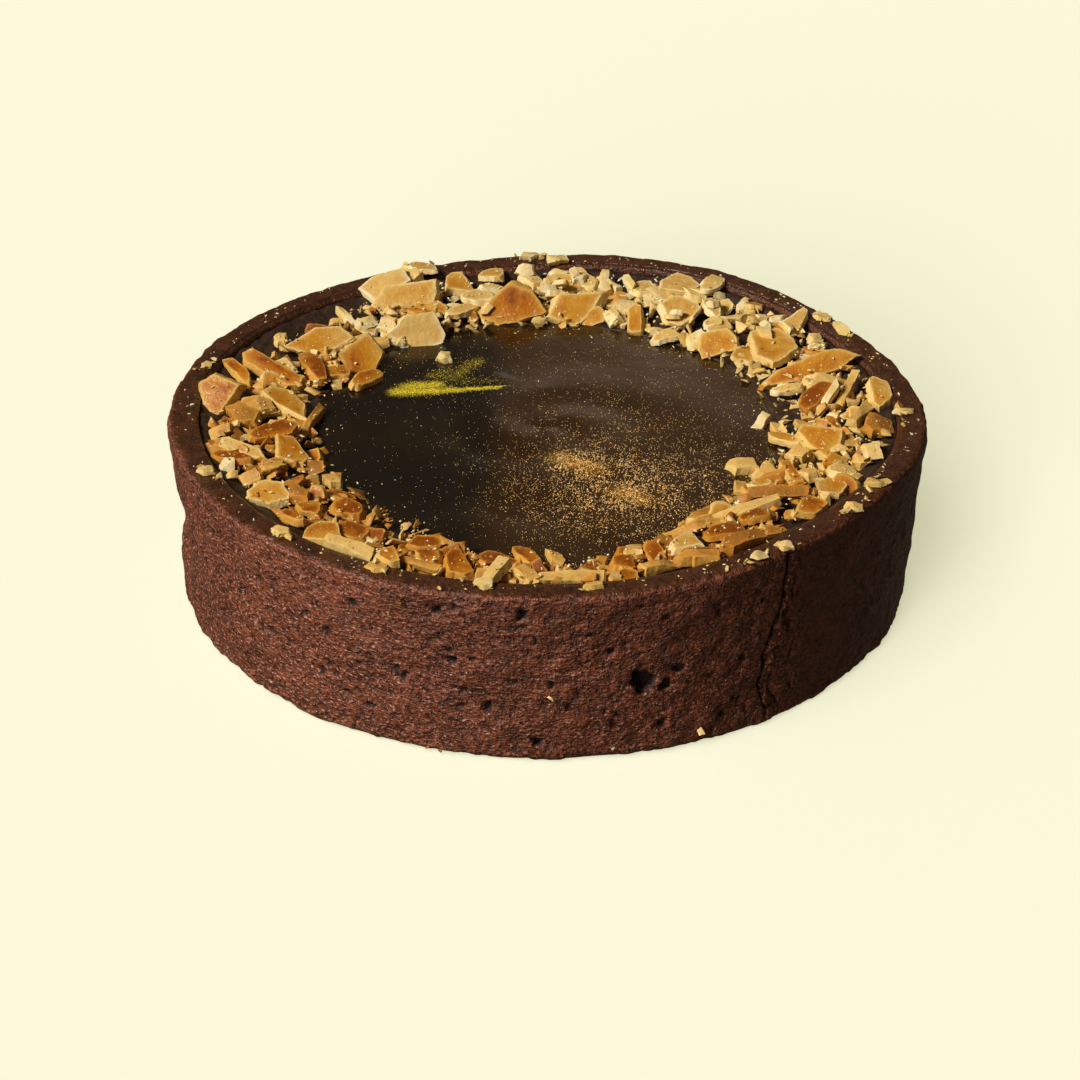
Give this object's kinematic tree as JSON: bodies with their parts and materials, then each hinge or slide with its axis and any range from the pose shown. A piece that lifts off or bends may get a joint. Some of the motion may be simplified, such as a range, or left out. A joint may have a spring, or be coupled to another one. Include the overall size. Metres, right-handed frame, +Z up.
{
  "type": "chocolate tart",
  "caption": "Deep round tart: dark chocolate shortcrust shell, smooth dark ganache filling, and a ring of broken toasted almonds heaped inside the rim.",
  "frame": {"origin": "middle of the flat base of the crust, on the surface that the tart stands on", "axes": "+Z up out of the filling, -Y towards the side that the picture shows, +X to its right"},
  "size_m": [0.203, 0.1996, 0.0527],
  "materials": {
    "chocolate_shortcrust": "matte baked crumb",
    "dark_ganache": "satin, dusted with gold",
    "toasted_almond": "satin, cream to amber"
  },
  "bodies": {
    "root": {"crust": "chocolate_shortcrust", "ganache": "dark_ganache", "almonds": "toasted_almond"}
  },
  "joints": []
}
